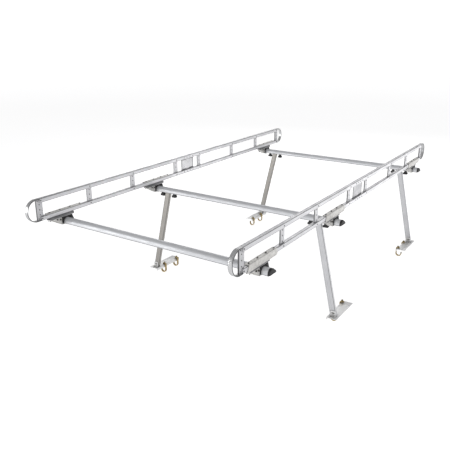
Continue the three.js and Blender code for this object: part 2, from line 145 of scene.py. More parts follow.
def ribbon(line, thickness):
    """The outline of a strip of even thickness along an open line."""
    sides = ([], [])
    for i, here in enumerate(line):
        before, after = line[max(i - 1, 0)], line[min(i + 1, len(line) - 1)]
        run = Vector((after[0] - before[0], after[1] - before[1])).normalized() * (thickness / 2)
        sides[0].append((here[0] - run.y, here[1] + run.x))
        sides[1].append((here[0] + run.y, here[1] - run.x))
    return sides[0] + sides[1][::-1]


# ---------- solids ----------

class Shell:
    """The faces of one piece. Each point also keeps its place in its own part, for the metal's grain."""

    def __init__(self):
        self.points, self.faces, self.local = [], [], []

    def add(self, points, faces, place):
        start = len(self.points)
        self.points += [place @ Vector(p) for p in points]
        self.local += [Vector(p) * MM for p in points]
        self.faces += [[start + i for i in face] for face in faces]


def place_at(u, v, w, origin):
    """Puts a part's u, v and w, in mm, along three directions from an origin in metres."""
    turn = Matrix((Vector(u), Vector(v), Vector(w))).transposed() * MM
    return Matrix.Translation(Vector(origin)) @ turn.to_4x4()


def across(origin, sign=1):
    return place_at((0, 1, 0), (0, 0, 1), (sign, 0, 0), origin)


def along(origin, sign=1, out=1):
    return place_at((out, 0, 0), (0, 0, 1), (0, sign, 0), origin)


def upward(origin, sign=1):
    return place_at((1, 0, 0), (0, 1, 0), (0, 0, sign), origin)


def loft(shell, rings, place):
    """A closed solid through rings of loops, each ring being (outer loop and any holes, w)."""
    sizes = [len(loop) for loop in rings[0][0]]
    size = sum(sizes)
    points = [(u, v, w) for loops, w in rings for loop in loops for u, v in loop]
    faces = []
    for ring in range(len(rings) - 1):
        first = ring * size
        for n in sizes:
            faces += [(first + i, first + (i + 1) % n, first + (i + 1) % n + size, first + i + size)
                      for i in range(n)]
            first += n
    for ring in (0, len(rings) - 1):
        flat = [[Vector((u, v, 0)) for u, v in loop] for loop in rings[ring][0]]
        faces += [[ring * size + i for i in corner] for corner in tessellate_polygon(flat)]
    shell.add(points, faces, place)


def prism(shell, outer, depth, place, bevel=0.6, holes=(), start=0.0, steps=2):
    """An extrusion with rounded edges, from start to start + depth along w."""
    loops = [turned(outer)] + [turned(hole, False) for hole in holes]
    turns = [math.radians(90 * k / steps) for k in range(steps + 1)]
    stops = [(bevel * (1 - math.sin(t)), bevel * (1 - math.cos(t))) for t in turns]
    stops += [(shift, depth - w) for shift, w in stops[::-1]]
    loft(shell, [([inset(loop, shift) for loop in loops], start + w) for shift, w in stops], place)


def lathe(shell, profile, place, steps=20):
    """A solid turned about w through (radius, w) pairs."""
    loft(shell, [([circle(radius, steps)], w) for radius, w in profile], place)


def piece(name, shell, finish, body, slot, *nodes):
    mesh = bpy.data.meshes.new(name)
    mesh.from_pydata(shell.points, [], shell.faces)
    grain = mesh.attributes.new("grain", "FLOAT_VECTOR", "POINT")
    grain.data.foreach_set("vector", [c for p in shell.local for c in p])
    work = bmesh.new()
    work.from_mesh(mesh)
    bmesh.ops.recalc_face_normals(work, faces=work.faces)
    work.to_mesh(mesh)
    work.free()
    mesh.shade_smooth()
    mesh.set_sharp_from_angle(angle=SHARP)
    mesh.materials.append(finish)
    made = bpy.data.objects.new(name, mesh)
    bpy.context.scene.collection.objects.link(made)
    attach(made, body)
    if nodes:
        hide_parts(*nodes)
    return made


# ---------- fastenings ----------

def hex_bolt(shell, place, size=10.0, head=5.0, washer=8.5):
    """A flat washer and a hexagon head with chamfered corners, standing on w = 0."""
    lathe(shell, [(washer - 0.3, 0), (washer, 0.3), (washer, 1.3), (washer - 0.3, 1.6)], place)
    corner = size / math.sqrt(3)
    rings = [(corner, 1.6), (corner, 1.6 + 0.75 * head), (corner * 0.88, 1.6 + head)]
    lathe(shell, rings, place, steps=6)


def button_screw(shell, place, radius, height):
    """A domed screw head with a socket in it."""
    lathe(shell, [(radius, 0), (radius, 0.25 * height), (0.9 * radius, 0.65 * height),
                  (0.68 * radius, 0.92 * height), (0.45 * radius, height),
                  (0.4 * radius, height), (0.38 * radius, 0.35 * height)], place, steps=16)


def nut_and_end(shell, place, size=10.0, height=5.0, stem=3.0, out=3.5):
    """A nut with the end of its bolt standing out of it."""
    corner = size / math.sqrt(3)
    lathe(shell, [(corner * 0.9, 0), (corner, 0.6), (corner, height - 0.6), (corner * 0.9, height)],
          place, steps=6)
    lathe(shell, [(stem, height), (stem, height + out - 0.6), (stem - 0.6, height + out)], place, steps=12)


# ---------- materials ----------

class Tree:
    """A short way to write a material's nodes."""

    def __init__(self, name):
        self.material = bpy.data.materials.new(name)
        self.material.use_nodes = True
        self.nodes = self.material.node_tree.nodes
        self.links = self.material.node_tree.links
        self.shader = self.nodes["Principled BSDF"]

    def node(self, kind, inputs=None, **settings):
        made = self.nodes.new(kind)
        for key, value in settings.items():
            setattr(made, key, value)
        for key, value in (inputs or {}).items():
            if isinstance(value, bpy.types.NodeSocket):
                self.links.new(value, made.inputs[key])
            else:
                made.inputs[key].default_value = value
        return made

    def grain(self, scale):
        place = self.node("ShaderNodeAttribute", attribute_name="grain").outputs["Vector"]
        return self.node("ShaderNodeVectorMath", {0: place, 1: scale}, operation="MULTIPLY").outputs[0]

    def noise(self, scale, detail=3.0, roughness=0.55):
        inputs = {"Vector": self.grain(scale), "Scale": 1.0, "Detail": detail, "Roughness": roughness}
        return self.node("ShaderNodeTexNoise", inputs).outputs["Fac"]

    def spread(self, value, low, high, to_low=0.0, to_high=1.0):
        inputs = {"Value": value, "From Min": low, "From Max": high, "To Min": to_low, "To Max": to_high}
        return self.node("ShaderNodeMapRange", inputs).outputs["Result"]

    def maths(self, operation, a, b):
        return self.node("ShaderNodeMath", {0: a, 1: b}, operation=operation).outputs[0]

    def mix(self, factor, one, two):
        made = self.node("ShaderNodeMix", {"Factor": factor}, data_type="RGBA")
        for socket, value in ((made.inputs[6], one), (made.inputs[7], two)):
            if isinstance(value, bpy.types.NodeSocket):
                self.links.new(value, socket)
            else:
                socket.default_value = (*value, 1)
        return made.outputs[2]

    def set(self, **values):
        for key, value in values.items():
            socket = self.shader.inputs[key.replace("_", " ")]
            if isinstance(value, bpy.types.NodeSocket):
                self.links.new(value, socket)
            else:
                socket.default_value = value

    def contact_shade(self, distance):
        """A mask for painted shade: 1 on open surfaces, falling towards 0 where pieces meet, as ambient
        occlusion does.
        """
        inputs = {"Distance": distance}
        return self.node("ShaderNodeAmbientOcclusion", inputs, samples=8).outputs["AO"]

    def rim(self, half_u, half_v, width):
        """A mask for painted dark lines that stand in for shade and dark reflections on rounded edges: 1
        along the corners of a section, or along the edges of a face when half_v is None.
        """
        place = self.node("ShaderNodeAttribute", attribute_name="grain").outputs["Vector"]
        parts = self.node("ShaderNodeSeparateXYZ", {0: place}).outputs
        reach = None
        for axis, half in (("X", half_u), ("Y", half_v)):
            if half is None:
                continue
            beyond = self.maths("SUBTRACT", self.maths("ABSOLUTE", parts[axis], 0.0), (half - width) * MM)
            reach = beyond if reach is None else self.maths("MINIMUM", reach, beyond)
        return self.spread(reach, 0.0, 0.4 * width * MM)

    def bump(self, height, distance):
        inputs = {"Height": height, "Distance": distance, "Strength": 1.0}
        return self.node("ShaderNodeBump", inputs).outputs["Normal"]


TONE_LOW, TONE_HIGH = 0.36, 0.64  # the part of the noise that spans a metal's dark and light tones


def worked_metal(name, light, dark, grain, metallic=0.85, roughness=(0.3, 0.5), mottle=14.0, relief=2e-5,
                 rim=None, rim_shade=0.2):
    """Metal with a fine grain, a cloudy tone, long scratches, painted shade in its corners where pieces meet,
    and painted dark lines along its edges when rim is given.
    """
    tree = Tree(name)
    streak = tree.noise(grain, detail=4.0)
    cloud = tree.noise((mottle, mottle, mottle * 0.4), detail=5.0, roughness=0.65)
    scratch = tree.spread(tree.noise([g * 0.35 for g in grain], detail=2.0), 0.66, 0.72)
    both = tree.maths("ADD", tree.maths("MULTIPLY", streak, 0.45), tree.maths("MULTIPLY", cloud, 0.55))
    tone = tree.spread(both, TONE_LOW, TONE_HIGH)
    colour = tree.mix(tone, dark, light)
    colour = tree.mix(tree.maths("MULTIPLY", scratch, 0.35), colour, [c * 0.7 for c in dark])
    # Painted shade: dark lines along the section's corners or a face's edges.
    if rim:
        colour = tree.mix(tree.maths("MULTIPLY", tree.rim(*rim), 0.9), colour, [c * rim_shade for c in dark])
    # Painted shade: the colour falls to a darker copy of the metal where pieces meet.
    painted_shade = tree.spread(tree.contact_shade(0.012), 0.25, 0.95)
    colour = tree.mix(painted_shade, [c * 0.45 for c in dark], colour)
    tree.set(Base_Color=colour, Metallic=metallic,
             Roughness=tree.spread(both, TONE_LOW, TONE_HIGH, roughness[1], roughness[0]),
             Normal=tree.bump(streak, relief))
    return tree.material


def moulded(name, light, dark, roughness, grit=900.0, relief=6e-5):
    """Plastic or rubber with a fine grit, scuffs, and painted shade where pieces meet, which leaves its open
    faces paler.
    """
    tree = Tree(name)
    fine = tree.noise((grit, grit, grit), detail=4.0)
    patches = tree.noise((60, 60, 60), detail=5.0, roughness=0.7)
    scuff = tree.spread(patches, 0.52, 0.7)
    colour = tree.mix(tree.maths("MULTIPLY", scuff, 0.7), dark, light)
    # Painted shade: darker where pieces meet.
    painted_shade = tree.spread(tree.contact_shade(0.01), 0.2, 0.9)
    colour = tree.mix(painted_shade, [c * 0.4 for c in dark], colour)
    tree.set(Base_Color=colour, Roughness=tree.spread(patches, 0.3, 0.7, roughness - 0.1, roughness + 0.12),
             Normal=tree.bump(fine, relief))
    return tree.material


def zinc_plate(name, gold, olive, rose):
    """Yellow-passivated zinc: gold with olive and pink clouds."""
    tree = Tree(name)
    cloud = tree.noise((45, 45, 45), detail=4.0, roughness=0.6)
    other = tree.noise((80, 70, 90), detail=3.0)
    fine = tree.noise((700, 700, 700), detail=3.0)
    colour = tree.mix(tree.spread(cloud, 0.4, 0.62), gold, olive)
    colour = tree.mix(tree.spread(other, 0.56, 0.72), colour, rose)
    # Painted shade: darker olive where pieces meet.
    painted_shade = tree.spread(tree.contact_shade(0.01), 0.2, 0.9)
    colour = tree.mix(painted_shade, [c * 0.35 for c in olive], colour)
    tree.set(Base_Color=colour, Metallic=0.75, Roughness=tree.spread(cloud, 0.3, 0.7, 0.3, 0.5),
             Normal=tree.bump(fine, 3e-5))
    return tree.material


ALONG_W = (1100, 1100, 14)  # grain that runs along an extrusion
FACES = (260, 34, 260)  # grain of rolled sheet
SPECKLE = (300, 300, 300)

# Where the painted dark lines run along a section's corners, in place of the shade and dark reflections on
# its rounded edges: half its width, half its height, and the line's width.
TUBE_RIM = (TUBE["width"] / 2, TUBE["height"] / 2, 3.6)
BAND_RIM = (TUBE["width"] / 2, None, 3.4)
POST_RIM = (END_POST["half_width"], None, 4.2)
BAR_RIM = (None, BAR["height"], 5.0)
LEG_RIM = (LEG["half_width"], LEG["half_depth"], 4.0)

aluminium = worked_metal("mill aluminium", (0.75, 0.75, 0.765), (0.60, 0.60, 0.615), ALONG_W,
                         metallic=0.8, rim=TUBE_RIM)
band_metal = worked_metal("end band", (0.80, 0.805, 0.81), (0.64, 0.645, 0.65), ALONG_W,
                          roughness=(0.22, 0.36), rim=BAND_RIM)
bar_metal = worked_metal("extruded bar", (0.78, 0.79, 0.81), (0.66, 0.67, 0.695), ALONG_W,
                         metallic=0.4, rim=BAR_RIM, rim_shade=0.25)
# The left legs carry a darker copy of the leg metal: painted shade, standing in for the weaker light on that
# side.
leg_metal = {"left": worked_metal("leg extrusion in painted shade", (0.50, 0.48, 0.45), (0.36, 0.345, 0.325), ALONG_W,
                                  rim=LEG_RIM),
             "right": worked_metal("leg extrusion", (0.74, 0.745, 0.76), (0.58, 0.585, 0.60), ALONG_W,
                                   metallic=0.7, rim=LEG_RIM)}
foot_metal = worked_metal("foot plate", (0.86, 0.86, 0.855), (0.72, 0.72, 0.715), ALONG_W,
                          metallic=0.6, mottle=22.0)
sheet_metal = worked_metal("post sheet", (0.72, 0.72, 0.735), (0.58, 0.58, 0.595), FACES, rim=POST_RIM)
panel_metal = worked_metal("panel sheet", (0.78, 0.78, 0.79), (0.63, 0.63, 0.645), FACES,
                           roughness=(0.42, 0.58))
bracket_metal = worked_metal("bracket plate", (0.74, 0.73, 0.705), (0.56, 0.55, 0.53), (120, 120, 120),
                             roughness=(0.42, 0.6), mottle=55.0, relief=8e-5)
bolt_metal = worked_metal("bolt steel", (0.16, 0.155, 0.15), (0.06, 0.058, 0.055), SPECKLE,
                          roughness=(0.35, 0.55), mottle=160.0)
steel_metal = worked_metal("plated steel", (0.52, 0.51, 0.49), (0.28, 0.275, 0.265), SPECKLE, mottle=160.0)
zinc_metal = zinc_plate("yellow zinc", (0.47, 0.36, 0.16), (0.27, 0.22, 0.12), (0.42, 0.19, 0.13))
zinc_screw = zinc_plate("dark zinc", (0.30, 0.26, 0.14), (0.16, 0.15, 0.09), (0.28, 0.13, 0.10))
black_plastic = moulded("black plastic", (0.020, 0.020, 0.021), (0.007, 0.007, 0.008), 0.5)
cap_plastic = moulded("cap face", (0.034, 0.034, 0.036), (0.013, 0.013, 0.014), 0.55)
rubber = moulded("liner rubber", (0.014, 0.014, 0.014), (0.005, 0.005, 0.005), 0.72, grit=500.0,
                 relief=1e-4)


# ---------- side rails ----------

TUBE_SCREW = {"radius": 4.6, "height": 2.6}
END_SCREW = {"radius": 4.0, "height": 1.8}
POST_SCREW = {"radius": 4.2, "height": 1.6}
BAND_SCREW = {"radius": 5.0, "height": 2.6}
PANEL_SCREW = {"radius": 4.2, "height": 2.2}
END_SCREW_IN, END_SCREW_ON = 10, 14  # how far the end posts' screws stand from a post's middle line
NUB_BACK = 159  # the bolt under the rail, forward of each bar's crest
BAR_Y = {bar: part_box("crossbar_" + bar)[0].y / MM + BAR["front"] for bar in BARS}
CREST_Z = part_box("crossbar_front")[1].z


def tube_section():
    """A rail tube's section: u across the truck, v up, with fine lines rolled into its top and bottom."""
    half_u, half_v, turn = TUBE["width"] / 2, TUBE["height"] / 2, TUBE["round"]
    groove = [(-5.2, 0), (-4.6, -0.7), (-3.8, -0.7), (-3.2, 0)]
    top = arc(-half_u + turn, half_v - turn, turn, 180, 90, 4)
    top += [(u, half_v + v) for u, v in groove] + [(-u, half_v + v) for u, v in groove[::-1]]
    top += arc(half_u - turn, half_v - turn, turn, 90, 0, 4)
    return top + [(-u, -v) for u, v in top]


def band_section():
    """The end band's section: u across the truck, v outwards, with two ribs along its outer face."""
    half_u, thick = TUBE["width"] / 2, BAND["thickness"]
    left = [(-half_u, -1.6), (-half_u + 0.5, -0.5), (-half_u + 1.6, 0),
            (-7.5, 0), (-6.8, -1.1), (-2.2, -1.1), (-1.5, 0)]
    inner = [(half_u, -thick + 1), (half_u - 1, -thick), (-half_u + 1, -thick), (-half_u, -thick + 1)]
    return left + [(-u, v) for u, v in left[::-1]] + inner


def end_band(shell, centre, half_length, radius, direction):
    """The strip bent round one end of the rail, from the end of its upper tube to that of its lower one."""
    bend = [(half_length + radius * math.cos(a), radius * math.sin(a), math.cos(a), math.sin(a))
            for a in [math.radians(90 - 180 * i / BAND["steps"]) for i in range(BAND["steps"] + 1)]]
    start = TUBE["end"] + 0.3
    line = [(start, radius, 0, 1)] + bend + [(start, -radius, 0, -1)]
    section, run = band_section(), 0.0
    size, first = len(section), len(shell.points)
    for i, (y, z, out_y, out_z) in enumerate(line):
        if i:
            run += math.hypot(y - line[i - 1][0], z - line[i - 1][1])
        for u, v in section:
            shell.points.append(centre + Vector((u, direction * (y + v * out_y), z + v * out_z)) * MM)
            shell.local.append(Vector((u, v, run)) * MM)
    for i in range(len(line) - 1):
        at = first + i * size
        shell.faces += [(at + k, at + (k + 1) % size, at + size + (k + 1) % size, at + size + k)
                        for k in range(size)]
    for at in (first, first + (len(line) - 1) * size):
        shell.faces.append([at + k for k in range(size)])


def post_section(half_width, grooves):
    """Section of a post: u along the truck, v across it, with a sunken face or lengthwise grooves."""
    half = POST["half_depth"]
    edge = [(-half_width + 1.2, half)]
    if grooves:
        for centre in (-15, -5, 5, 15):
            edge += [(centre - 2.2, half), (centre - 1.6, half - 1)]
            edge += [(centre + 1.6, half - 1), (centre + 2.2, half)]
    else:
        edge += [(-18, half), (-17, half - 0.7), (17, half - 0.7), (18, half)]
    edge += [(half_width - 1.2, half), (half_width, half - 1.2)]
    return edge + [(-u, -v) for u, v in edge]


def rail_tube(shell, start):
    """A straight tube along the truck, with its end edges eased."""
    place = place_at((1, 0, 0), (0, 0, 1), (0, 1, 0), start)
    outline, length, ease = turned(tube_section()), 2 * TUBE["end"], 0.5
    stops = ((ease, 0), (0, ease), (0, length - ease), (ease, length))
    loft(shell, [([inset(outline, shift)], w) for shift, w in stops], place)


def rail_screws(shell, spot, tube_z):
    """The screws of the posts, the end bands and the panel, on both faces of a rail."""
    tube_face, post_face = TUBE["width"] / 2, POST["half_depth"]
    for out in (-1, 1):
        for direction in (-1, 1):
            for y in (*POST["places"], END_POST["place"]):
                end = y == END_POST["place"]
                aside = -END_SCREW_IN * direction if end else 0
                for level in (-1, 1):
                    at = spot(out * tube_face, direction * y + aside, level * tube_z)
                    button_screw(shell, across(at, out), **TUBE_SCREW)
                    if end:
                        along_y = direction * (y + END_SCREW_ON)
                        at = spot(out * (post_face - 0.2), along_y, level * (tube_z - 2))
                        button_screw(shell, across(at, out), **END_SCREW)
                for z in POST["screws"]:
                    at = spot(out * (post_face - 0.4), direction * y, z)
                    button_screw(shell, across(at, out), **POST_SCREW)
        for level in (-1, 1):
            for y in PANEL["screws"]:
                button_screw(shell, across(spot(out * tube_face, y, level * tube_z), out), **PANEL_SCREW)


def rail(side):
    low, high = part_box("side_rail_" + side)
    centre = (low + high) / 2
    half_height = (high.z - low.z) / 2 / MM
    bend_start = (high.y - low.y) / 2 / MM - half_height
    tube_z = half_height - TUBE["height"] / 2
    short, tall = half_height - TUBE["height"] + 0.4, half_height - BAND["thickness"] - 0.2
    tubes, bands, posts, screws = Shell(), Shell(), Shell(), Shell()

    def spot(x, y, z):
        return centre + Vector((x, y, z)) * MM

    for level in (-tube_z, tube_z):
        rail_tube(tubes, spot(0, -TUBE["end"], level))
    for direction in (-1, 1):
        end_band(bands, centre, bend_start, half_height, direction)
        button_screw(screws, upward(spot(0, direction * BAND["screw_y"], BAND["thickness"] - half_height)),
                     **BAND_SCREW)
        for y in (*POST["places"], END_POST["place"]):
            end = y == END_POST["place"]
            half = tall if end else short
            section = post_section(END_POST["half_width"] if end else POST["half_width"], end)
            place = place_at((0, 1, 0), (1, 0, 0), (0, 0, 1), spot(0, direction * y, -half))
            loft(posts, [([section], 0.0), ([section], 2 * half)], place)
    rail_screws(screws, spot, tube_z)
    for bar in BARS:
        nub = (centre.x, (BAR_Y[bar] - NUB_BACK) * MM, low.z)
        hex_bolt(screws, upward(nub, -1), size=12, head=10, washer=9)
    piece("rail_tubes_" + side, tubes, aluminium, "rack", "aluminium", "side_rail_" + side)
    piece("rail_ends_" + side, bands, band_metal, "rack", "aluminium")
    piece("rail_posts_" + side, posts, sheet_metal, "rack", "aluminium")
    piece("rail_screws_" + side, screws, bolt_metal, "rack", "aluminium")


def panel(side):
    low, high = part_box("centre_panel_" + side)
    centre = (low + high) / 2
    half_y, half_z = (high.y - low.y) / 2 / MM, (high.z - low.z) / 2 / MM
    border, middle = PANEL["border"], (PANEL["slots"] - 1) / 2
    slots = [upright_stadium(2.1, 38, (i - middle) * PANEL["pitch"]) for i in range(PANEL["slots"])]
    sheet, frame_strip = Shell(), Shell()
    prism(sheet, rectangle(half_y - border - 0.3, half_z - border - 0.3), PANEL["sheet"], across(centre),
          bevel=0.35, holes=slots, start=-PANEL["sheet"] / 2)
    rim = fillet(rectangle(half_y, half_z), 3)
    hole = fillet(rectangle(half_y - border, half_z - border), 2)
    prism(frame_strip, rim, PANEL["frame"], across(centre), bevel=0.6, holes=[hole],
          start=-PANEL["frame"] / 2)
    piece("panel_sheet_" + side, sheet, panel_metal, "rack", "panel", "centre_panel_" + side)
    piece("panel_border_" + side, frame_strip, sheet_metal, "rack", "panel")


# ---------- crossbars and end caps ----------

def aerofoil_top(clearance=0.0, steps=10, lines=False):
    """The bar's upper surface from its front face over the crest to its tail, as (y, z) from the crest."""
    front, rear = BAR["front"], BAR["rear"]
    nose = arc(0, -front, front + clearance, 180, 90, 36 if lines else steps)
    if lines:
        dents = {8: 0.7, 9: 0.7, 25: 0.8, 26: 0.8}
        nose = [(u * (1 - dents.get(i, 0) / front), v - (v + front) * dents.get(i, 0) / front)
                for i, (u, v) in enumerate(nose)]
    fall = BAR["height"] - BAR["tail"]
    back = [((k + 1) / steps * (rear + clearance), clearance - fall * ((k + 1) / steps) ** 1.7)
            for k in range(steps)]
    return nose + back


def bar_outline():
    """The bar's whole section, with its T-slot and a lip along its front lower edge."""
    front, rear, floor, mid = -BAR["front"], BAR["rear"], -BAR["height"], BAR["slot"]
    slot = [(-6, floor), (-6, floor + 3), (-12, floor + 3), (-12, floor + 12)]
    slot = [(mid + u, v) for u, v in slot] + [(mid - u, v) for u, v in slot[::-1]]
    lip = [(front, floor + 6), (front + 1.2, floor + 5), (front + 1.2, floor + 1)]
    tail = [(rear - 1, floor), (rear, floor + 1)]
    return [(front + 2.2, floor)] + slot + tail + aerofoil_top(lines=True, steps=18)[::-1] + lip


def crossbar(bar):
    low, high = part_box("crossbar_" + bar)
    shell = Shell()
    place = across((low.x, low.y + BAR["front"] * MM, high.z))
    prism(shell, bar_outline(), (high.x - low.x) / MM, place, bevel=0.2, steps=1)
    piece("bar_" + bar, shell, bar_metal, "rack", "aluminium", "crossbar_" + bar)


def end_cap(bar, side, sign):
    node = f"end_cap_{bar}_{side}"
    low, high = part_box(node)
    start = low.x if sign > 0 else high.x
    place = across((start, low.y + BAR["front"] * MM, high.z), sign)
    floor = -BAR["height"]
    outline = turned([(-BAR["front"], floor)] + aerofoil_top(steps=14) + [(BAR["rear"], floor)])
    outline = fillet(outline, 1.0, steps=2)

    def shrunk(share, middle_u=14, middle_v=-25):
        return [(middle_u + (u - middle_u) * share, middle_v + (v - middle_v) * share) for u, v in outline]

    depth = (high.x - low.x) / MM
    rim, face = Shell(), Shell()
    stops = [(0.985, 0), (1.0, 0.7), (1.0, 5.2), (0.985, 6.0), (0.93, 6.6),
             (0.885, depth - 2.4), (0.865, depth - 0.8), (0.84, depth), (0.80, depth), (0.79, depth - 2.2)]
    loft(rim, [([shrunk(share)], w) for share, w in stops], place)
    inner = [(0.75, depth - 2.1), (0.75, depth - 1.2), (0.72, depth - 0.9), (0.3, depth - 0.4)]
    loft(face, [([shrunk(share)], w) for share, w in inner], place)
    piece(f"cap_rim_{bar}_{side}", rim, black_plastic, "rack", "black_plastic", node)
    piece(f"cap_face_{bar}_{side}", face, cap_plastic, "rack", "black_plastic")


# ---------- rail brackets and liners ----------

def bracket_angle(shell, at, sign):
    """The angle over the lower tube's outer face and top."""
    front, rear, top, flange = (BRACKET[key] for key in ("front", "rear", "top", "flange"))
    corners = [(front - 12, 29.5), (front, 20), (rear, 20), (rear + 12, 29.5), (rear, top), (front, top)]
    prism(shell, fillet(corners, 3), 4.0, across(at(BRACKET["face"]), sign), bevel=0.7)
    over = fillet([(-15, front, 3), (15.2, front, 0.3), (15.2, rear, 0.3), (-15, rear, 3)], 1)
    place = place_at((sign, 0, 0), (0, 1, 0), (0, 0, 1), at(0, 0, top - flange))
    prism(shell, over, flange, place, bevel=0.7)


def bracket_block(shell, at, sign):
    """The hollow block under the rail, stepped back where the angle covers it."""
    half = BRACKET["half_width"]
    hollow = fillet([(-15.3, 14), (11.4, 14), (11.4, 25.7), (-15.3, 25.7)], 1.5)
    body = fillet([(-half, 10, 2), (half, 10, 2), (half, 19.8, 0.6), (15.2, 19.8, 0.4), (15.2, 29.6, 1),
                   (-half, 29.6, 2)], 1)
    prism(shell, body, 222.0, along(at(0, -150), 1, sign), bevel=0.5, holes=[hollow])


def bracket_strap(shell, at, sign):
    """The strap from the block down under the bar, with a web on each side."""
    half, web = BRACKET["half_width"], BRACKET["web"]
    line = fillet([(-148, 7.4), (-137, 7.4), (-46, -44.8), (40, -44.8)], 14, closed=False)
    prism(shell, ribbon(line, 5), 2 * half, across(at(-half), sign), bevel=0.7)
    outline = fillet([(-134.0, 9.8, 2), (-49.0, -39.0, 8), (-46, -39.0, 1), (-46, 9.8, 2)], 2)
    for x in (-half, half - web):
        prism(shell, outline, web, across(at(x), sign), bevel=0.5)


def bracket_bolts(shell, at, sign):
    half = BRACKET["half_width"]
    for y in BRACKET["bolts"]:
        hex_bolt(shell, upward(at(0, y, BRACKET["top"])), size=8, head=3.5, washer=5.8)
    for y, z in BRACKET["web_bolts"]:
        hex_bolt(shell, across(at(half, y, z), sign), size=9.5, head=5, washer=6.4)
        nut_and_end(shell, across(at(-half, y, z), -sign), size=9.5)
    lathe(shell, [(9.5, 0), (9.5, 1.6)], upward(at(0, BAR["slot"], -47.4), -1))
    hex_bolt(shell, upward(at(0, BAR["slot"], -49.0), -1), size=13, head=9, washer=9)
    for x in (-9, 9):
        hex_bolt(shell, upward(at(x, -142, 4.8), -1), size=8, head=4, washer=6)


def bracket(bar, side, sign):
    tag = f"{bar}_{side}"
    rail_x = sum(corner.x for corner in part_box("side_rail_" + side)) / 2
    crest = Vector((rail_x, BAR_Y[bar] * MM, CREST_Z))

    def at(x=0.0, y=0.0, z=0.0):
        """A place x outboard, y along the truck and z above the bar's crest under the rail."""
        return crest + Vector((sign * x, y, z)) * MM

    plate, block, strap, fixings = Shell(), Shell(), Shell(), Shell()
    bracket_angle(plate, at, sign)
    bracket_block(block, at, sign)
    bracket_strap(strap, at, sign)
    bracket_bolts(fixings, at, sign)
    piece("bracket_plate_" + tag, plate, bracket_metal, "rack", "bracket", "rail_bracket_" + tag)
    piece("bracket_block_" + tag, block, aluminium, "rack", "bracket")
    piece("bracket_strap_" + tag, strap, bracket_metal, "rack", "bracket")
    piece("bracket_bolts_" + tag, fixings, bolt_metal, "rack", "bracket")


def liner(bar, side):
    node = f"saddle_liner_{bar}_{side}"
    low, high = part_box(node)
    top, depth = LINER["top"], LINER["depth"]
    inner = [p for p in aerofoil_top(LINER["gap"], steps=24) if p[0] <= 0 or p[1] > -LINER["rear_depth"]]
    tail_u, tail_v = inner[-1]
    outline = [(-40, -depth), (-40, top - 2), (-38, top), (tail_u - 4, top)]
    outline += [(tail_u + 10, tail_v + 4), (tail_u, tail_v)]
    outline += inner[:-1][::-1] + [(-BAR["front"] - LINER["gap"], -depth)]
    shell = Shell()
    place = across((low.x, BAR_Y[bar] * MM, CREST_Z))
    prism(shell, outline, (high.x - low.x) / MM, place, bevel=0.5)
    piece(f"liner_{bar}_{side}", shell, rubber, "rack", "rubber", node)


# ---------- legs and feet ----------

def leg_section():
    """The leg's section with rounded corners and three grooves in each broad face."""
    half_u, half_v, turn = LEG["half_width"], LEG["half_depth"], LEG["round"]
    side = arc(-half_u + turn, half_v - turn, turn, 180, 90, 4)
    for centre in (-15, 0, 15):
        side += [(centre - 2.9, half_v), (centre - 2.3, half_v - 1)]
        side += [(centre + 2.3, half_v - 1), (centre + 2.9, half_v)]
    side += arc(half_u - turn, half_v - turn, turn, 90, 0, 4)
    return side + [(-u, -v) for u, v in side]


def leg(place, side, sign):
    """Makes the leg and its head plate. Gives the head's bolts and the middle of the leg's lower end."""
    tag = f"{place}_{side}"
    low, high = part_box("leg_" + tag)
    y, height = (low.y + high.y) / 2, (high.z - low.z) / MM
    inner, outer = min(abs(low.x), abs(high.x)), max(abs(low.x), abs(high.x))
    half, thick = LEG["half_width"] * MM, LEG["head"]
    top = Vector((sign * (inner + half), y, high.z))
    base = Vector((sign * (outer - half), y, low.z))
    lean = (top.x - base.x) / (height * MM)
    tube, head, fixings = Shell(), Shell(), Shell()
    section = leg_section()
    loft(tube, [([section], 0.0), ([section], height - thick - 0.2)],
         place_at((1, 0, 0), (0, 1, 0), (lean, 0, 1), base))
    prism(head, fillet(rectangle(42, 19), 5), thick, upward(top, -1), bevel=0.6)
    for x in (-35, 35):
        hex_bolt(fixings, upward(top + Vector((x, 0, -thick)) * MM, -1), size=10, head=5, washer=6.6)
    piece("leg_tube_" + tag, tube, leg_metal[side], "leg_" + tag, "aluminium", "leg_" + tag)
    piece("leg_head_" + tag, head, foot_metal, "leg_" + tag, "aluminium")
    return fixings, base


def foot_angle(shell, at):
    """The bent plate in front of the leg's lower end; at(x, forward, up) is a place from the leg's foot."""
    half, thick, bend = ANGLE["half_width"], ANGLE["thickness"], ANGLE["bend"]
    upright = fillet([(-half, 8, 0), (half, 8, 0), (half, 45.5, 9), (-half, 45.5, 9)], 0, steps=6)
    slot = stadium(13, 4.6, v=ANGLE["slot_z"])
    prism(shell, upright, thick, along(at(), -1), bevel=0.7, holes=[slot])
    corner = ribbon(arc(bend, bend, bend - 2.2, 180, 270, 6), thick)
    place = place_at((0, -1, 0), (0, 0, 1), (1, 0, 0), at(-half))
    prism(shell, corner, 2 * half, place, bevel=0.3)
    seat = fillet([(-half, bend, 0), (half, bend, 0), (half, 36, 12), (-half, 36, 12)], 0, steps=6)
    prism(shell, seat, thick, place_at((1, 0, 0), (0, -1, 0), (0, 0, 1), at(up=0.2)), bevel=0.7)


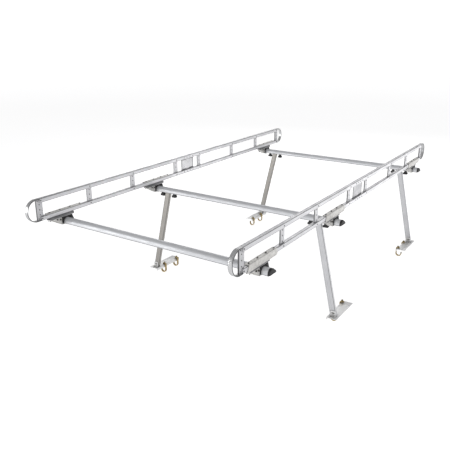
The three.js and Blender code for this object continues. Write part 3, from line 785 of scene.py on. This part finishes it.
def foot(place, side, sign):
    fixings, base = leg(place, side, sign)
    tag = f"{place}_{side}"
    node, body = "foot_plate_" + tag, "leg_" + tag
    low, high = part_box(node)
    top = base.z - 0.3 * MM
    front = base.y - (LEG["half_depth"] + 0.3) * MM

    def at(x=0.0, forward=0.0, up=0.0):
        return Vector((base.x + x * MM, front - forward * MM, top + up * MM))

    plate, angle = Shell(), Shell()
    start = (sign * FOOT["inside"] * MM, low.y, top)
    prism(plate, fillet(foot_outline(), 1.0), (high.y - low.y) / MM, along(start, 1, sign), bevel=0.8)
    foot_angle(angle, at)
    for x in ANGLE["bolts"]:
        hex_bolt(fixings, upward(at(x, 22, 4.2)), size=10, head=5, washer=8)
    lathe(fixings, [(7.5, 0), (7.5, 1.2)], along(at(0, ANGLE["thickness"], ANGLE["slot_z"]), -1))
    hex_bolt(fixings, along(at(0, ANGLE["thickness"] + 1.2, ANGLE["slot_z"]), -1), size=9, head=4, washer=6)
    piece("foot_" + tag, plate, foot_metal, body, "aluminium", node)
    piece("foot_angle_" + tag, angle, foot_metal, body, "aluminium")
    piece("leg_bolts_" + tag, fixings, steel_metal, body, "aluminium")


def foot_outline():
    """An L-shaped strip with an easy bend: the flange at the inboard edge, then the plate."""
    half, bend = FOOT["thickness"] / 2, 3.5
    turn = arc(half + bend, -half - bend, bend, 180, 90, 5)
    return ribbon([(half, -FOOT["drop"])] + turn + [(FOOT["width"], -half)], FOOT["thickness"])


# ---------- clamps ----------

def clamp_hook(low_y, spine, sign):
    """The C-shaped body: an arm over the foot plate, a spine, and a hook below with a short upright end."""
    line = [(30, CLAMP["arm"])] + arc(8, CLAMP["arm"] - 8, 8, 90, 180, 6)
    line += arc(25, 29, 25, 180, 360, 22) + [(CLAMP["tip"], CLAMP["tip_z"] - 0.1)]
    shell = Shell()
    place = along((spine, low_y, 0), 1, sign)
    prism(shell, ribbon(line, CLAMP["thickness"]), CLAMP["width"], place, bevel=1.3, steps=3)
    return shell


def clamp_screw_shell(x, y, bottom):
    """The screw, with a turned thread and a hexagon head."""
    shell = Shell()
    rise, pitch, root = CLAMP["head"] - bottom, THREAD["pitch"], THREAD["root"]
    turns = int(rise / pitch)
    thread = [(root, 0)]
    for k in range(turns):
        thread += [(root, k * pitch + 0.2), (THREAD["crest"], (k + 0.5) * pitch)]
    thread += [(root, turns * pitch - 0.1), (root, rise)]
    lathe(shell, thread, upward((x, y, bottom * MM)), steps=16)
    head = [(8.2, 0), (9.0, 0.8), (9.0, 7.8), (7.9, 9.0)]
    lathe(shell, head, upward((x, y, CLAMP["head"] * MM)), steps=6)
    return shell


def clamp(place, side, sign, number):
    tag = f"{place}_{side}_{number}"
    body, screw_body = f"leg_{place}_{side}", "clamp_screw_" + tag
    low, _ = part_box("clamp_body_" + tag)
    screw_low, screw_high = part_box(screw_body)
    spot = (screw_low + screw_high) / 2
    spine = sign * CLAMP["spine"] * MM
    hook, tip = clamp_hook(low.y, spine, sign), Shell()
    collar = [(9, 0), (9, 1.4), (8.4, 2)]
    for way in (-1, 1):
        face = CLAMP["arm"] + way * (CLAMP["thickness"] / 2 + 0.1)
        lathe(hook, collar, upward((spot.x, spot.y, face * MM), way))
    piece("clamp_" + tag, hook, zinc_metal, body, "zinc", "clamp_body_" + tag)
    profile = [(3.0, 0), (4.6, 1.2), (5.4, 3.4), (5.2, 6.0), (4.0, 8.0), (2.0, 9.0)]
    end = (spine + sign * CLAMP["tip"] * MM, spot.y, CLAMP["tip_z"] * MM)
    lathe(tip, profile, upward(end), steps=16)
    piece("clamp_tip_" + tag, tip, black_plastic, body, "black_plastic")
    screw = clamp_screw_shell(spot.x, spot.y, screw_low.z / MM)
    piece("screw_" + tag, screw, zinc_screw, screw_body, "zinc", screw_body)


# ---------- cleats ----------

def cleat(place, side, which):
    tag = f"{place}_{side}_{which}"
    node = "tie_cleat_" + tag
    low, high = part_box(node)
    spot = Vector(((low.x + high.x) / 2, (low.y + high.y) / 2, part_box(f"leg_{place}_{side}")[1].z))
    knob, stud = Shell(), Shell()
    half = [(17, -43, 3), (22, -38, 2), (22, -31, 4), (9, -15, 8), (7, -9, 2), (7, 0, 0)]
    outline = fillet(half + [(-u, v, r) for u, v, r in half[::-1]], 2)
    depth, nut = CLEAT["depth"], CLEAT["nut"]
    prism(knob, outline, depth, along((spot.x, spot.y - depth / 2 * MM, spot.z)), bevel=2.6, steps=4)
    lathe(stud, [(3.8, 0), (3.8, 6.0)], upward(spot), steps=14)
    prism(stud, fillet(rectangle(9.8, 9.8), 1.5), nut, upward((spot.x, spot.y, high.z - nut * MM)), bevel=0.5)
    piece("cleat_" + tag, knob, black_plastic, node, "black_plastic", node)
    piece("cleat_stud_" + tag, stud, bolt_metal, node, "zinc")


# ---------- the whole rack ----------

for side in SIDES:
    rail(side)
    panel(side)
for bar in BARS:
    crossbar(bar)
    for side, sign in SIDES.items():
        end_cap(bar, side, sign)
        bracket(bar, side, sign)
        liner(bar, side)
for place in ("middle", "rear"):
    for side, sign in SIDES.items():
        foot(place, side, sign)
        for number in (1, 2):
            clamp(place, side, sign, number)
        for which in ("inner", "outer"):
            cleat(place, side, which)


# ---------- floor, light and camera ----------

FLOOR_RADIUS, FLOOR_BEND, WALL_HEIGHT, FLOOR_STEPS = 13.0, 4.0, 22.0, 64  # in metres, and points in a ring
FLOOR_GLOW = 0.66
WORLD_STRENGTH = 0.95
# The camera: its place in metres, its turn from +Y, its tilt below the level and its roll in degrees.
CAMERA = {"place": (2.3710, -4.1734, 2.1913), "azimuth": 33.712, "elevation": 19.175, "roll": -0.140,
          "lens": 45.56}
# Brightness of the room from straight down (0) to straight up (1).
ROOM = ((0.0, 0.88), (0.44, 0.94), (0.53, 0.60), (0.66, 0.32), (0.85, 0.34), (1.0, 0.42))
# Each soft box: its place, what it points at, its size, all in metres, and its power in watts.
LIGHTS = {"key": ((4.6, -3.6, 1.6), (0.6, -0.4, 0.6), (2.2, 1.8), 115),
          "fill": ((-4.0, -5.2, 1.5), (0, -0.6, 0.7), (3.0, 2.4), 80),
          "side": ((-4.6, 3.6, 2.9), (0, -0.8, 0.9), (3.0, 1.6), 28),
          "back": ((-1.5, 6.0, 4.2), (0, 0, 0.6), (5.0, 2.0), 60),
          "low": ((2.2, 3.2, 0.1), (0.2, -0.6, 1.0), (2.6, 1.4), 9)}


def studio_floor():
    """A round pale sheet under and all round the rack. It is seen, but not mirrored in the metal."""
    wall = [(FLOOR_RADIUS + FLOOR_BEND * math.sin(a), FLOOR_BEND * (1 - math.cos(a)))
            for a in [math.radians(6 * k) for k in range(16)]]
    profile = [(0.4, 0.0), (4.0, 0.0)] + wall + [(FLOOR_RADIUS + FLOOR_BEND, WALL_HEIGHT)]
    points = [Vector((0, 0, 0))]
    for radius, rise in profile:
        points += [Vector((u, v, rise)) for u, v in circle(radius, FLOOR_STEPS)]
    faces = [(0, 1 + i, 1 + (i + 1) % FLOOR_STEPS) for i in range(FLOOR_STEPS)]
    for ring in range(len(profile) - 1):
        first = 1 + ring * FLOOR_STEPS
        for i in range(FLOOR_STEPS):
            on = (i + 1) % FLOOR_STEPS
            faces.append((first + i, first + FLOOR_STEPS + i, first + FLOOR_STEPS + on, first + on))
    mesh = bpy.data.meshes.new("studio_floor")
    mesh.from_pydata(points, [], faces)
    mesh.shade_smooth()
    floor = bpy.data.objects.new("studio_floor", mesh)
    bpy.context.scene.collection.objects.link(floor)
    floor.visible_glossy = floor.visible_diffuse = floor.visible_shadow = False
    tree = Tree("studio paper")
    paper = tree.node("ShaderNodeTexNoise", {"Scale": 60.0, "Detail": 3.0}).outputs["Fac"]
    tree.set(Base_Color=tree.mix(paper, (0.84, 0.84, 0.84), (0.86, 0.86, 0.86)), Roughness=0.95,
             Emission_Color=(1, 1, 1, 1), Emission_Strength=FLOOR_GLOW)
    mesh.materials.append(tree.material)


def area_light(name, at, aim, size, watts):
    data = bpy.data.lights.new(name, "AREA")
    data.shape = "RECTANGLE"
    data.size, data.size_y = size
    data.energy = watts
    lamp = bpy.data.objects.new(name, data)
    lamp.location = at
    lamp.rotation_euler = (Vector(aim) - Vector(at)).to_track_quat("-Z", "Y").to_euler()
    bpy.context.scene.collection.objects.link(lamp)
    return lamp


def studio_light():
    """A soft room, darker overhead, and soft boxes. The low one would be in the picture, so it is hidden."""
    world = bpy.data.worlds.new("studio")
    world.use_nodes = True
    bpy.context.scene.world = world
    nodes, links = world.node_tree.nodes, world.node_tree.links
    view = nodes.new("ShaderNodeTexCoord")
    parts = nodes.new("ShaderNodeSeparateXYZ")
    height = nodes.new("ShaderNodeMapRange")
    height.inputs["From Min"].default_value = -1
    height.inputs["From Max"].default_value = 1
    ramp = nodes.new("ShaderNodeValToRGB")
    while len(ramp.color_ramp.elements) < len(ROOM):
        ramp.color_ramp.elements.new(0.5)
    for element, (at, level) in zip(ramp.color_ramp.elements, ROOM):
        element.position, element.color = at, (level, level, level * 1.01, 1)
    links.new(view.outputs["Generated"], parts.inputs[0])
    links.new(parts.outputs["Z"], height.inputs["Value"])
    links.new(height.outputs[0], ramp.inputs["Fac"])
    links.new(ramp.outputs["Color"], nodes["Background"].inputs["Color"])
    nodes["Background"].inputs["Strength"].default_value = WORLD_STRENGTH
    lamps = {name: area_light(name, *settings) for name, settings in LIGHTS.items()}
    lamps["low"].visible_camera = False


def camera():
    data = bpy.data.cameras.new("camera")
    data.sensor_width = 36.0
    data.lens = CAMERA["lens"]
    made = bpy.data.objects.new("camera", data)
    azimuth, elevation, roll = (math.radians(CAMERA[key]) for key in ("azimuth", "elevation", "roll"))
    turn = Matrix.Rotation(azimuth, 4, "Z") @ Matrix.Rotation(math.pi / 2 - elevation, 4, "X")
    turn = turn @ Matrix.Rotation(roll, 4, "Z")
    made.matrix_world = Matrix.Translation(CAMERA["place"]) @ turn
    bpy.context.scene.collection.objects.link(made)
    bpy.context.scene.camera = made


studio_floor()
studio_light()
camera()
bpy.context.scene.view_settings.view_transform = "Standard"
